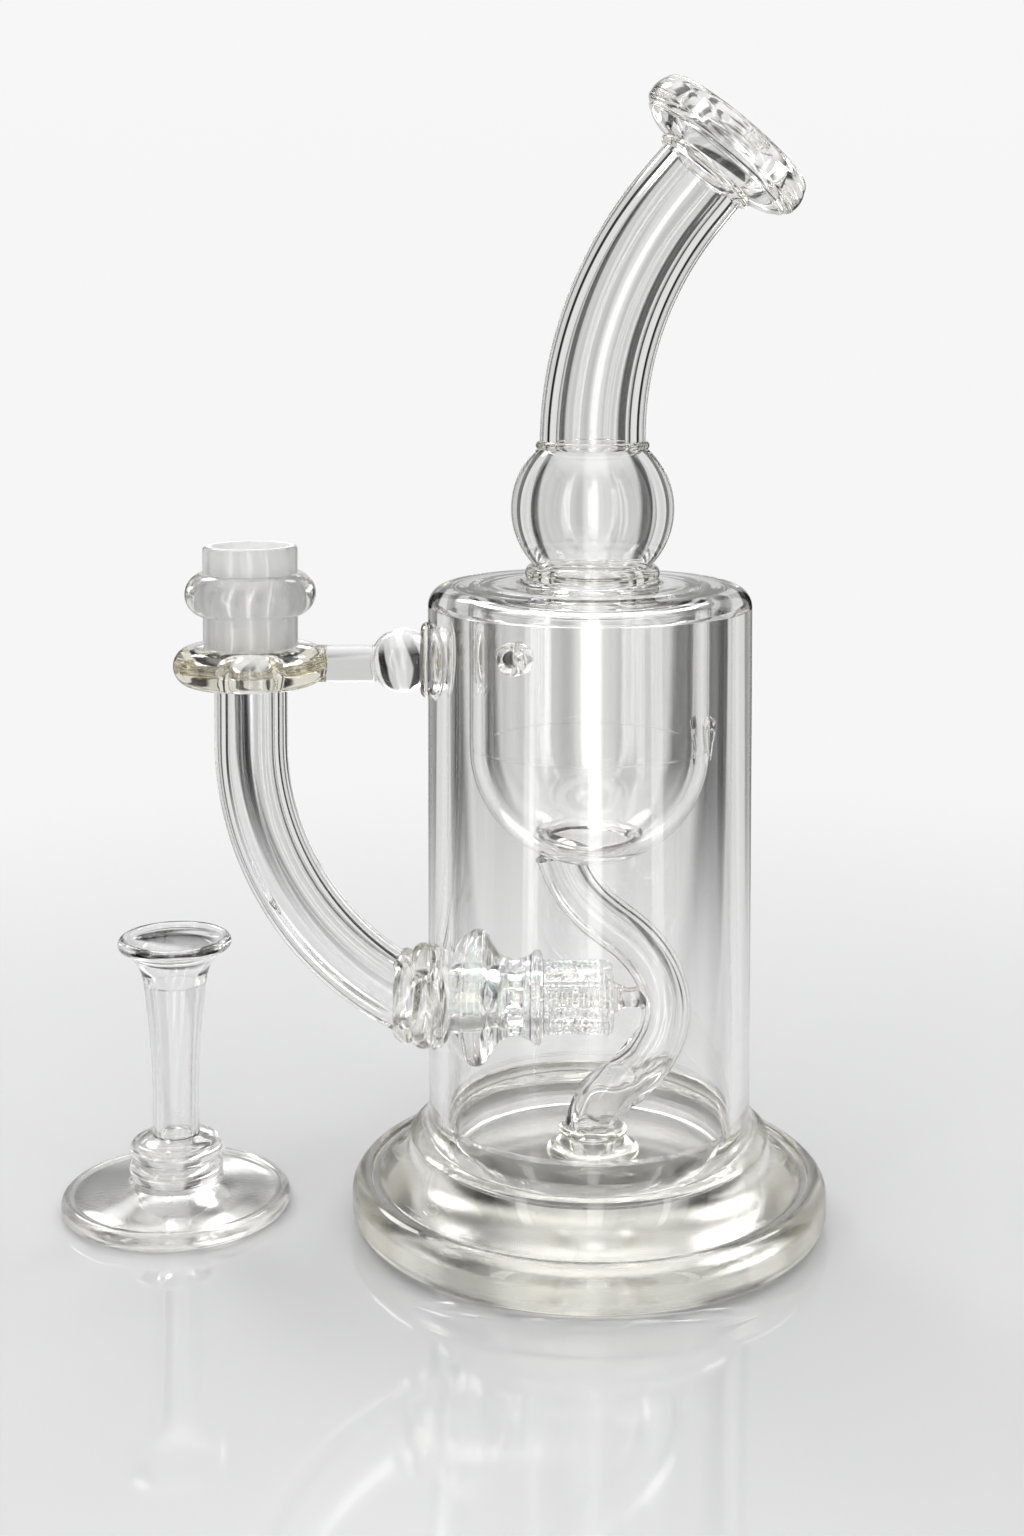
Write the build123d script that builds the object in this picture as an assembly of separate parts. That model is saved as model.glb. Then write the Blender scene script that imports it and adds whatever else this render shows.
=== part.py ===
"""Glass recycler vessel: a foot, a straight can with a hanging inner drum, an S-bend drain,
a slitted side perc on a curved arm, a frosted socket joint, a braced joint stack, a bulb neck
and a disc mouthpiece, with the small funnel-mouthed glass that stands beside it.

Millimetres, +Z up. The origin is the centre of the foot's bottom face; the mouthpiece leans
towards +X and the socket joint is at -X. Every blown or pressed piece of glass is one solid,
written to its own STEP file. Fused pieces meet face to face and never overlap.
"""

import os
from math import cos, radians, sin, sqrt

from build123d import *

# The can and its foot
CAN_R = 30.0
CAN_WALL = 3.5
FOOT_R = 44.3
FOOT_RIM_HEIGHT = 9.0
FOOT_EDGE_R = 3.4
FLOOR_Z = 11.4
FLARE_BOTTOM_Z = 16.0
FLARE_BOTTOM_R = 33.4
CAN_BOTTOM_Z = 21.0
CAN_TOP_Z = 115.0
SHOULDER_TOP_Z = 120.0
CAN_INNER_R = CAN_R - CAN_WALL

# The inner drum
DRUM_R = 22.3
DRUM_WALL = 2.2
DRUM_TOP_Z = 116.2
BOWL_CENTRE_Z = 89.3
DRUM_INNER_R = DRUM_R - DRUM_WALL

# The neck
NECK_X = 0.5
NECK_BORE_R = 7.8
BULB_BOTTOM_Z = 122.6
BULB_TOP_Z = 144.0
BULB_R = 15.1
BULB_WALL = 3.2
SEAM_HEIGHT = 1.4
NECK_TUBE_R = 9.8
NECK_TUBE_TOP_R = 9.0
NECK_WALL = 3.1
NECK_BEND_R = 69.0
NECK_TILT = 40.0
NECK_STRAIGHT = 5.8

# The S-bend drain
DRAIN_TUBE_R = 4.7
DRAIN_BORE_R = 3.1
DRAIN_FOOT_X = 0.8
DRAIN_FOOT_TOP_Z = 17.4

# The side perc, turned about a line along X
PERC_Z = 41.4
PERC_BORE_R = 4.2
PERC_PORT_R = 6.9
PERC_BELL_END = -16.7
PERC_WAIST_END = -10.7
PERC_RING_END = -8.6
PERC_CAP_END = 4.5
PERC_CAP_R = 6.95
PERC_SLITS = 12
PERC_SLIT_WIDTH = 0.8

# The arm and the socket joint
JOINT_X = -62.9
ARM_R = 6.8
ARM_BORE_R = 4.2
ARM_TOP_Z = 100.2
ARM_BEND_TOP_Z = 89.2
ARM_BEND_R = 54.0
ARM_BEND_ANGLE = 62.0
SOCKET_R = 8.75
SOCKET_BOTTOM_Z = 105.6
SOCKET_TOP_Z = 126.0
SOCKET_MOUTH_R = 7.35
SOCKET_MOUTH_DEPTH = 5.0
SOCKET_END_R = 6.2
COLLAR_R = 14.3
COLLAR_HALF_HEIGHT = 3.6
RING_CENTRE_Z = 117.1
RING_HALF_HEIGHT = 3.9

# The brace between the joint and the can
BRACE_Z = 104.6
BRACE_ROD_Z = 104.0
BRACE_ROD_R = 3.45
BRACE_BALL_X = -34.7
BRACE_BALL_R = 6.0
BRACE_PAD_X = -31.2

# The funnel-mouthed glass standing beside the vessel
LOOSE_X = -78.0
LOOSE_Y = 3.0
LOOSE_FOOT_R = 21.5
LOOSE_FOOT_TOP_Z = 6.2
LOOSE_LOWER_BEAD_TOP_Z = 9.7
LOOSE_STEM_BOTTOM_Z = 14.0
LOOSE_FUNNEL_BOTTOM_Z = 43.0
LOOSE_TOP_Z = 51.8


def point(radius, height):
    """A point of an outline in the X-Z plane."""
    return (radius, 0, height)


def turned(start, *steps):
    """A solid turned about Z from a closed outline of (radius, height) corners.

    A step with two numbers is a straight edge to that corner, one with four is an arc
    through its first pair to its second.
    """
    edges = []
    here = start
    for step in steps:
        corner = step[-2:]
        if len(step) == 4:
            edges.append(ThreePointArc(point(*here), point(*step[:2]), point(*corner)))
        else:
            edges.append(Line(point(*here), point(*corner)))
        here = corner
    if here != start:
        edges.append(Line(point(*here), point(*start)))
    return revolve(make_face(Curve() + edges), axis=Axis.Z)


def along_x(solid, x=0.0, z=0.0):
    """A solid turned about Z, laid down so that its own +Z points along +X."""
    return Pos(x, 0, z) * Rot(0, 90, 0) * solid


def swept_tube(path, start_radius, end_radius):
    """A round bar swept along a path, tapering evenly from one radius to the other."""
    first = Plane(path @ 0, z_dir=path % 0) * Circle(start_radius)
    if start_radius == end_radius:
        return sweep(first, path=path)
    last = Plane(path @ 1, z_dir=path % 1) * Circle(end_radius)
    return sweep([first, last], path=path, multisection=True)


def base_foot():
    """The heavy pressed foot: rounded rim, shallow groove, coved rise and the chamber floor."""
    flat_r = FOOT_R - FOOT_EDGE_R
    slant = FOOT_EDGE_R * sin(radians(45))
    return turned(
        (0, 0),
        (flat_r, 0),
        (flat_r + slant, FOOT_EDGE_R - slant, FOOT_R, FOOT_EDGE_R),
        (FOOT_R, FOOT_RIM_HEIGHT - FOOT_EDGE_R),
        (flat_r + slant, FOOT_RIM_HEIGHT - FOOT_EDGE_R + slant, flat_r, FOOT_RIM_HEIGHT),
        (flat_r - 1.0, FOOT_RIM_HEIGHT - 0.5, flat_r - 2.0, FOOT_RIM_HEIGHT - 0.1),
        (35.6, 11.6, FLARE_BOTTOM_R, FLARE_BOTTOM_Z),
        (CAN_INNER_R, FLARE_BOTTOM_Z),
        (CAN_INNER_R, FLOOR_Z + 1.8),
        (CAN_INNER_R - 0.5, FLOOR_Z + 0.5, CAN_INNER_R - 1.8, FLOOR_Z),
        (0, FLOOR_Z),
    )


def base_flare():
    """The flared weld ring between the foot and the can."""
    return turned(
        (CAN_INNER_R, FLARE_BOTTOM_Z),
        (FLARE_BOTTOM_R, FLARE_BOTTOM_Z),
        (31.0, FLARE_BOTTOM_Z + 1.9, CAN_R, CAN_BOTTOM_Z),
        (CAN_INNER_R, CAN_BOTTOM_Z),
    )


def can_cylinder():
    """The can's outer cylinder as a solid bar, for trimming what is fused to its wall."""
    return Pos(0, 0, CAN_BOTTOM_Z) * Cylinder(
        CAN_R, CAN_TOP_Z - CAN_BOTTOM_Z, align=(Align.CENTER, Align.CENTER, Align.MIN)
    )


def outer_can():
    """The straight can wall, with the round port the perc passes through."""
    wall = turned(
        (CAN_INNER_R, CAN_BOTTOM_Z),
        (CAN_R, CAN_BOTTOM_Z),
        (CAN_R, CAN_TOP_Z),
        (CAN_INNER_R, CAN_TOP_Z),
    )
    port = along_x(Cylinder(PERC_PORT_R, 12), -CAN_R, PERC_Z)
    return wall - port


def can_shoulder():
    """The thick rounded top of the can, with the neck opening and the drum's seat below."""
    return turned(
        (CAN_INNER_R, CAN_TOP_Z),
        (CAN_R, CAN_TOP_Z),
        (28.9, CAN_TOP_Z + 2.6, 26.4, SHOULDER_TOP_Z - 1.3),
        (14.0, SHOULDER_TOP_Z - 0.7),
        (13.2, SHOULDER_TOP_Z - 0.5, 12.8, SHOULDER_TOP_Z),
        (NECK_BORE_R, SHOULDER_TOP_Z),
        (NECK_BORE_R, SHOULDER_TOP_Z - 3.0),
        (DRUM_INNER_R - 1.0, SHOULDER_TOP_Z - 3.2),
        (DRUM_INNER_R, DRUM_TOP_Z),
        (24.2, DRUM_TOP_Z),
        (25.8, DRUM_TOP_Z - 0.3, CAN_INNER_R, CAN_TOP_Z),
    )


def neck_weld_ring():
    """The bead that fuses the bulb to the shoulder."""
    return Pos(NECK_X, 0, 0) * turned(
        (NECK_BORE_R, SHOULDER_TOP_Z),
        (12.2, SHOULDER_TOP_Z),
        (12.5, SHOULDER_TOP_Z + 1.3, 11.0, BULB_BOTTOM_Z),
        (NECK_BORE_R, BULB_BOTTOM_Z),
    )


def neck_bulb():
    """The thick-walled bulb at the foot of the neck."""
    middle_z = (BULB_BOTTOM_Z + BULB_TOP_Z) / 2 - 0.3
    return Pos(NECK_X, 0, 0) * turned(
        (NECK_BORE_R, BULB_BOTTOM_Z),
        (11.0, BULB_BOTTOM_Z),
        (BULB_R, middle_z, 10.2, BULB_TOP_Z),
        (NECK_TUBE_R - NECK_WALL, BULB_TOP_Z),
        (BULB_R - BULB_WALL, middle_z, NECK_BORE_R, BULB_BOTTOM_Z),
    )


def neck_seam_ring():
    """The narrow seam bead between the bulb and the neck tube."""
    top_z = BULB_TOP_Z + SEAM_HEIGHT
    return Pos(NECK_X, 0, 0) * turned(
        (NECK_TUBE_R - NECK_WALL, BULB_TOP_Z),
        (10.2, BULB_TOP_Z),
        (10.5, BULB_TOP_Z + SEAM_HEIGHT / 2, NECK_TUBE_R, top_z),
        (NECK_TUBE_R - NECK_WALL, top_z),
    )


def neck_path():
    """The neck's centre line: an arc leaning towards +X, then a straight run."""
    start_z = BULB_TOP_Z + SEAM_HEIGHT
    lean = radians(NECK_TILT)
    half = lean / 2

    def on_arc(angle):
        return Vector(
            NECK_X + NECK_BEND_R * (1 - cos(angle)), 0, start_z + NECK_BEND_R * sin(angle)
        )

    bend = ThreePointArc(on_arc(0), on_arc(half), on_arc(lean))
    end = on_arc(lean) + Vector(sin(lean), 0, cos(lean)) * NECK_STRAIGHT
    return Wire([bend, Line(on_arc(lean), end)])


def neck_tube():
    """The bent neck tube, tapering a little towards the mouthpiece."""
    path = neck_path()
    outside = swept_tube(path, NECK_TUBE_R, NECK_TUBE_TOP_R)
    bore = swept_tube(path, NECK_TUBE_R - NECK_WALL, NECK_TUBE_TOP_R - NECK_WALL)
    return outside - bore


def mouthpiece_place():
    """Where the mouthpiece starts: the neck's end, with +Z along the neck."""
    lean = radians(NECK_TILT)
    across = Vector(cos(lean), 0, -sin(lean))
    along = Vector(sin(lean), 0, cos(lean))
    return Plane(neck_path() @ 1, x_dir=across, z_dir=along).location


def mouthpiece_bead():
    """The small bead where the mouthpiece is fused to the neck."""
    bore = NECK_TUBE_TOP_R - NECK_WALL
    return mouthpiece_place() * turned(
        (bore, 0), (NECK_TUBE_TOP_R, 0), (10.2, 1.0, 9.7, 2.0), (bore, 2.0)
    )


def mouthpiece_lip():
    """The thick disc lip: undercut cone, groove, rounded rim band and flared mouth."""
    bore = NECK_TUBE_TOP_R - NECK_WALL
    return mouthpiece_place() * turned(
        (bore, 2.0),
        (9.7, 2.0),
        (12.7, 2.2, 15.4, 3.6),
        (15.9, 3.9, 15.9, 4.4),
        (16.7, 4.8, 17.1, 5.8),
        (17.2, 7.6, 16.6, 9.3),
        (15.8, 10.6, 14.2, 11.1),
        (11.4, 10.8, 9.0, 8.8),
        (7.0, 6.3, bore, 3.8),
    )


def drum_hole_place():
    """The round hole in the drum, facing out through the front left of its wall."""
    direction = Vector(-13.2, -16.6, 0).normalized()
    return Plane(direction * (DRUM_R - DRUM_WALL / 2) + Vector(0, 0, 107.8), z_dir=direction)


def drum_slot_place():
    """The upright slot in the drum, facing +X and turned a little to the front."""
    angle = radians(-8)
    direction = Vector(cos(angle), sin(angle), 0)
    middle = direction * (DRUM_R - DRUM_WALL / 2) + Vector(0, 0, 90.4)
    return Plane(middle, x_dir=Vector(0, 0, 1), z_dir=direction)


def slot_bar(width, length, thickness):
    """A bar with a stadium section, centred on its own origin and running along Z."""
    return extrude(SlotOverall(length, width), thickness / 2, both=True)


def drum_openings():
    """The bars that cut the hole and the slot through the drum wall."""
    hole = drum_hole_place().location * Cylinder(3.0, 8)
    slot = drum_slot_place().location * slot_bar(5.4, 10.4, 9)
    return hole + slot


def inner_drum():
    """The drum's straight wall, hanging from the shoulder."""
    wall = turned(
        (DRUM_INNER_R, BOWL_CENTRE_Z),
        (DRUM_R, BOWL_CENTRE_Z),
        (DRUM_R, DRUM_TOP_Z),
        (DRUM_INNER_R, DRUM_TOP_Z),
    )
    return wall - drum_openings()


def drain_path():
    """The S-bend's centre line from the bowl's underside to the foot on the floor."""
    points = [
        (-5.6, 0, 68.8),
        (-3.3, 0, 63.4),
        (1.2, 0, 57.8),
        (7.6, 0.3, 52.7),
        (12.6, 0.7, 46.4),
        (14.5, 0.5, 39.6),
        (13.0, -0.6, 33.2),
        (8.9, -1.8, 28.4),
        (4.2, -1.6, 24.4),
        (DRAIN_FOOT_X, 0, DRAIN_FOOT_TOP_Z),
    ]
    return Spline(*points, tangents=[(0.35, 0, -0.94), (0, 0, -1)])


def drum_bowl():
    """The round bowl that closes the drum, with the drain opening low on its left."""
    shell = turned(
        (0, BOWL_CENTRE_Z - DRUM_R),
        (
            DRUM_R * sin(radians(45)),
            BOWL_CENTRE_Z - DRUM_R * cos(radians(45)),
            DRUM_R,
            BOWL_CENTRE_Z,
        ),
        (DRUM_INNER_R, BOWL_CENTRE_Z),
        (
            DRUM_INNER_R * sin(radians(45)),
            BOWL_CENTRE_Z - DRUM_INNER_R * cos(radians(45)),
            0,
            BOWL_CENTRE_Z - DRUM_INNER_R,
        ),
    )
    return shell - drum_openings() - drain_hole()


def drain_hole():
    """The bar that opens the bowl into the drain tube, along the tube's first direction."""
    path = drain_path()
    return Plane(path @ 0, z_dir=path % 0).location * Cylinder(DRAIN_BORE_R, 16)


def drum_drain_ring():
    """The thick ring of glass left inside the bottom of the bowl around the drain."""
    outer_r = 10.4
    inner_r = 7.4

    def bowl_z(radius):
        return BOWL_CENTRE_Z - sqrt(DRUM_INNER_R**2 - radius**2)

    middle_r = (outer_r + inner_r) / 2
    ring = turned(
        (inner_r, bowl_z(inner_r)),
        (middle_r, bowl_z(middle_r), outer_r, bowl_z(outer_r)),
        (middle_r, bowl_z(middle_r) + 1.9, inner_r, bowl_z(inner_r)),
    )
    return ring - drain_hole()


def drum_hole_lip():
    """The thick fused lip around the drum's round hole."""
    place = drum_hole_place().location
    return place * turned(
        (1.5, -1.7), (2.3, -2.1, 3.0, -1.4), (3.0, 1.4), (2.3, 2.1, 1.5, 1.7)
    )


def drum_slot_lip():
    """The fused lip around the drum's slot, filling the cut edge of the wall."""
    thick = 4.6
    ring = slot_bar(5.4, 10.4, thick) - slot_bar(2.6, 7.6, thick + 2)
    outer_edges = ring.edges().filter_by(GeomType.CIRCLE)
    return drum_slot_place().location * fillet(outer_edges, 0.6)


def s_bend_tube():
    """The S-shaped drain tube, trimmed to the bowl it is fused to."""
    path = drain_path()
    outside = swept_tube(path, DRAIN_TUBE_R, DRAIN_TUBE_R)
    bore = swept_tube(path, DRAIN_BORE_R, DRAIN_BORE_R)
    bowl = Pos(0, 0, BOWL_CENTRE_Z) * Sphere(DRUM_R)
    return outside - bore - bowl


def drain_foot():
    """The flared foot that fuses the drain tube to the chamber floor."""
    return Pos(DRAIN_FOOT_X, 0, 0) * turned(
        (DRAIN_BORE_R, FLOOR_Z),
        (7.9, FLOOR_Z),
        (8.6, FLOOR_Z + 1.2, 7.8, FLOOR_Z + 2.4),
        (6.4, FLOOR_Z + 3.2, 5.7, FLOOR_Z + 4.2),
        (6.3, FLOOR_Z + 4.9, 5.6, DRAIN_FOOT_TOP_Z),
        (DRAIN_BORE_R, DRAIN_FOOT_TOP_Z),
    )


def perc_bell():
    """The perc's bell, fused through the can wall's port and against the wall inside it."""
    bell = turned(
        (PERC_BORE_R, -31.0),
        (PERC_PORT_R, -31.0),
        (PERC_PORT_R, -25.8),
        (9.6, -25.2, 11.5, -22.8),
        (12.3, -20.4, 10.6, -18.4),
        (9.0, -17.4, 8.0, PERC_BELL_END),
        (PERC_BORE_R, PERC_BELL_END),
    )
    return (along_x(bell, z=PERC_Z) & can_cylinder()) - outer_can()


def perc_waist():
    """The waisted middle of the perc, slit all round."""
    waist = turned(
        (PERC_BORE_R, PERC_BELL_END),
        (8.0, PERC_BELL_END),
        (7.1, (PERC_BELL_END + PERC_WAIST_END) / 2, 8.0, PERC_WAIST_END),
        (PERC_BORE_R, PERC_WAIST_END),
    )
    return along_x(waist - slit_row(PERC_BELL_END + 1.3, PERC_WAIST_END - 1.3), z=PERC_Z)


def perc_ring():
    """The raised ring between the waist and the slitted cap."""
    ring = turned(
        (PERC_BORE_R, PERC_WAIST_END),
        (8.0, PERC_WAIST_END),
        (8.7, (PERC_WAIST_END + PERC_RING_END) / 2, 7.9, PERC_RING_END),
        (PERC_BORE_R, PERC_RING_END),
    )
    return along_x(ring, z=PERC_Z)


def slit_row(start, end):
    """A ring of blades that cut lengthwise slits through the perc's wall."""
    blade = Pos(PERC_BORE_R + 2.5, 0, (start + end) / 2) * Box(6, PERC_SLIT_WIDTH, end - start)
    return Compound(
        [Rot(0, 0, index * 360 / PERC_SLITS) * blade for index in range(PERC_SLITS)]
    )


def perc_cap():
    """The closed cap of the perc: two rows of slits parted by shallow grooves."""
    cap = turned(
        (0, PERC_RING_END + 1.6),
        (PERC_BORE_R + 0.4, PERC_RING_END + 1.6),
        (PERC_BORE_R, PERC_RING_END),
        (PERC_CAP_R, PERC_RING_END),
        (PERC_CAP_R, PERC_CAP_END - 1.2),
        (PERC_CAP_R - 0.4, PERC_CAP_END - 0.4, PERC_CAP_R - 1.2, PERC_CAP_END),
        (0, PERC_CAP_END),
    )
    hollow_length = PERC_CAP_END - PERC_RING_END - 2.0
    hollow = Pos(0, 0, PERC_RING_END) * Cylinder(
        PERC_BORE_R + 0.4, hollow_length, align=(Align.CENTER, Align.CENTER, Align.MIN)
    )
    groove = turned(
        (PERC_CAP_R - 0.4, -0.3),
        (PERC_CAP_R + 1, -0.3),
        (PERC_CAP_R + 1, 0.3),
        (PERC_CAP_R - 0.4, 0.3),
    )
    cap -= hollow
    for row_start in (PERC_RING_END + 1.2, PERC_RING_END + 6.4):
        cap -= slit_row(row_start, row_start + 4.2)
    for groove_z in (PERC_RING_END + 0.7, PERC_RING_END + 5.9, PERC_RING_END + 11.1):
        cap -= Pos(0, 0, groove_z) * groove
    return along_x(cap, z=PERC_Z)


def perc_brace():
    """The waisted nub that ties the perc's end to the S-bend tube."""
    nub = turned(
        (0, PERC_CAP_END),
        (3.1, PERC_CAP_END),
        (1.9, 7.4, 2.6, 11.0),
        (0, 11.0),
    )
    tube = swept_tube(drain_path(), DRAIN_TUBE_R, DRAIN_TUBE_R)
    return along_x(nub, z=PERC_Z) - tube


def arm_path():
    """The arm's centre line: down from the joint, round a wide bend and into the can."""
    bend = radians(ARM_BEND_ANGLE)

    def on_arc(angle):
        return Vector(
            JOINT_X + ARM_BEND_R * (1 - cos(angle)), 0, ARM_BEND_TOP_Z - ARM_BEND_R * sin(angle)
        )

    end = on_arc(bend) + Vector(sin(bend), 0, -cos(bend)) * 12
    return Wire(
        [
            Line((JOINT_X, 0, ARM_TOP_Z), on_arc(0)),
            ThreePointArc(on_arc(0), on_arc(bend / 2), on_arc(bend)),
            Line(on_arc(bend), end),
        ]
    )


def downtube_arm():
    """The curved arm from the joint to the perc, cut to the can's wall."""
    path = arm_path()
    arm = swept_tube(path, ARM_R, ARM_R) - swept_tube(path, ARM_BORE_R, ARM_BORE_R)
    return arm - can_cylinder()


def arm_weld_collar():
    """The two-bead weld around the arm where it meets the can."""
    collar = turned(
        (0, -36.4),
        (7.2, -36.4),
        (8.6, -34.8, 8.2, -33.0),
        (9.4, -31.8, 9.4, -30.0),
        (9.2, -26.0),
        (0, -26.0),
    )
    arm = swept_tube(arm_path(), ARM_R, ARM_R)
    return along_x(collar, z=PERC_Z) - arm - can_cylinder()


def collar_centre_z():
    """The height of the joint collar's widest ring."""
    return ARM_TOP_Z + COLLAR_HALF_HEIGHT


def joint_collar():
    """The thick round collar between the arm and the socket, braced to the can."""
    centre_z = collar_centre_z()
    flat_r = COLLAR_R - COLLAR_HALF_HEIGHT
    return Pos(JOINT_X, 0, 0) * turned(
        (ARM_BORE_R, ARM_TOP_Z),
        (flat_r, ARM_TOP_Z),
        (COLLAR_R, centre_z, flat_r, centre_z + COLLAR_HALF_HEIGHT),
        (SOCKET_R, centre_z + COLLAR_HALF_HEIGHT),
        (SOCKET_R, SOCKET_BOTTOM_Z),
        (ARM_BORE_R, SOCKET_BOTTOM_Z),
    )


def joint_socket():
    """The frosted ground socket: a short round mouth, then a taper."""
    return Pos(JOINT_X, 0, 0) * turned(
        (SOCKET_END_R, SOCKET_BOTTOM_Z),
        (SOCKET_R, SOCKET_BOTTOM_Z),
        (SOCKET_R, SOCKET_TOP_Z - 0.6),
        (SOCKET_R - 0.2, SOCKET_TOP_Z - 0.2, SOCKET_R - 0.6, SOCKET_TOP_Z),
        (SOCKET_MOUTH_R, SOCKET_TOP_Z),
        (SOCKET_MOUTH_R, SOCKET_TOP_Z - SOCKET_MOUTH_DEPTH),
    )


def joint_ring():
    """The clear round bead that rings the socket halfway up."""
    bottom_z = RING_CENTRE_Z - RING_HALF_HEIGHT
    top_z = RING_CENTRE_Z + RING_HALF_HEIGHT
    return Pos(JOINT_X, 0, 0) * turned(
        (SOCKET_R, bottom_z),
        (9.4, bottom_z),
        (12.1, RING_CENTRE_Z, 9.4, top_z),
        (SOCKET_R, top_z),
    )


def brace_rod():
    """The short rod from the joint's collar to the ball."""
    middle_x = (JOINT_X + COLLAR_R + BRACE_BALL_X) / 2
    rod = along_x(Cylinder(BRACE_ROD_R, 20), middle_x, BRACE_ROD_Z)
    ball = Pos(BRACE_BALL_X, 0, BRACE_Z) * Sphere(BRACE_BALL_R)
    centre_z = collar_centre_z()
    flat_r = COLLAR_R - COLLAR_HALF_HEIGHT
    collar = Pos(JOINT_X, 0, 0) * turned(
        (0, ARM_TOP_Z),
        (flat_r, ARM_TOP_Z),
        (COLLAR_R, centre_z, flat_r, centre_z + COLLAR_HALF_HEIGHT),
        (0, centre_z + COLLAR_HALF_HEIGHT),
    )
    return rod - ball - collar


def brace_ball():
    """The solid glass ball of the brace, flattened where it is fused to its pad."""
    ball = Pos(BRACE_BALL_X, 0, BRACE_Z) * Sphere(BRACE_BALL_R)
    beyond = Pos(BRACE_PAD_X, 0, BRACE_Z) * Box(
        20, 20, 20, align=(Align.MIN, Align.CENTER, Align.CENTER)
    )
    return ball - beyond


def brace_weld_pad():
    """The two weld beads that fuse the brace to the can wall."""
    pad = turned(
        (0, BRACE_PAD_X),
        (5.4, BRACE_PAD_X),
        (6.7, BRACE_PAD_X + 0.3, 7.0, BRACE_PAD_X + 1.3),
        (8.0, BRACE_PAD_X + 1.6, 8.2, BRACE_PAD_X + 2.6),
        (8.2, -25.0),
        (0, -25.0),
    )
    return along_x(pad, z=BRACE_Z) - can_cylinder()


def loose_place():
    """Where the small glass stands."""
    return Pos(LOOSE_X, LOOSE_Y, 0)


def loose_foot():
    """The small glass's disc foot, with a rounded rim and a gently coned top."""
    return loose_place() * turned(
        (0, 0),
        (19.8, 0),
        (21.0, 0.5, LOOSE_FOOT_R, 1.7),
        (21.0, 2.9, 19.9, 3.4),
        (19.3, 3.1, 18.7, 3.2),
        (9.0, LOOSE_FOOT_TOP_Z - 0.8),
        (8.2, LOOSE_FOOT_TOP_Z),
        (0, LOOSE_FOOT_TOP_Z),
    )


def loose_lower_bead():
    """The wider of the two beads on the small glass's foot."""
    return loose_place() * turned(
        (0, LOOSE_FOOT_TOP_Z),
        (8.2, LOOSE_FOOT_TOP_Z),
        (8.8, LOOSE_FOOT_TOP_Z + 1.7, 7.8, LOOSE_LOWER_BEAD_TOP_Z),
        (0, LOOSE_LOWER_BEAD_TOP_Z),
    )


def loose_upper_bead():
    """The narrower bead the stem grows from, with the round bottom of the stem's hollow."""
    hollow_r = 2.9
    slant = hollow_r * sin(radians(45))
    return loose_place() * turned(
        (0, LOOSE_LOWER_BEAD_TOP_Z),
        (7.8, LOOSE_LOWER_BEAD_TOP_Z),
        (8.7, LOOSE_LOWER_BEAD_TOP_Z + 1.7, 7.0, LOOSE_STEM_BOTTOM_Z - 0.9),
        (4.5, LOOSE_STEM_BOTTOM_Z),
        (hollow_r, LOOSE_STEM_BOTTOM_Z),
        (slant, LOOSE_STEM_BOTTOM_Z - slant, 0, LOOSE_STEM_BOTTOM_Z - hollow_r),
    )


def loose_stem():
    """The small glass's hollow stem, widening slowly upwards."""
    return loose_place() * turned(
        (2.9, LOOSE_STEM_BOTTOM_Z),
        (4.4, LOOSE_STEM_BOTTOM_Z),
        (4.6, 29.5, 5.9, LOOSE_FUNNEL_BOTTOM_Z),
        (4.1, LOOSE_FUNNEL_BOTTOM_Z),
        (3.1, 29.5, 2.9, LOOSE_STEM_BOTTOM_Z),
    )


def loose_funnel():
    """The flared funnel mouth of the small glass, with a rounded rim."""
    return loose_place() * turned(
        (4.1, LOOSE_FUNNEL_BOTTOM_Z),
        (5.9, LOOSE_FUNNEL_BOTTOM_Z),
        (7.2, 46.9, 10.1, 49.6),
        (10.6, 50.8, 9.7, LOOSE_TOP_Z),
        (8.9, 51.5, 8.6, 50.7),
        (5.8, 46.9, 4.1, LOOSE_FUNNEL_BOTTOM_Z),
    )


PIECES = [
    base_foot,
    base_flare,
    outer_can,
    can_shoulder,
    neck_weld_ring,
    neck_bulb,
    neck_seam_ring,
    neck_tube,
    mouthpiece_bead,
    mouthpiece_lip,
    inner_drum,
    drum_bowl,
    drum_drain_ring,
    drum_hole_lip,
    drum_slot_lip,
    s_bend_tube,
    drain_foot,
    perc_bell,
    perc_waist,
    perc_ring,
    perc_cap,
    perc_brace,
    downtube_arm,
    arm_weld_collar,
    joint_collar,
    joint_socket,
    joint_ring,
    brace_rod,
    brace_ball,
    brace_weld_pad,
    loose_foot,
    loose_lower_bead,
    loose_upper_bead,
    loose_stem,
    loose_funnel,
]


def main():
    os.makedirs("parts", exist_ok=True)
    for piece in PIECES:
        export_step(piece(), f"parts/{piece.__name__}.step")


if __name__ == "__main__":
    main()
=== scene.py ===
"""The glass recycler vessel in its looks: every CAD node is replaced by a finely turned or swept
glass piece of the same size and place, with procedural glass materials, on a pale studio floor.

Lengths are worked out in millimetres from the frame's boxes and turned into metres when a mesh
is made. The camera looks along +Y.
"""

import random
from math import atan2, ceil, cos, pi, radians, sin, sqrt

import bmesh
import bpy
import numpy as np
from mathutils import Matrix, Vector


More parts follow.
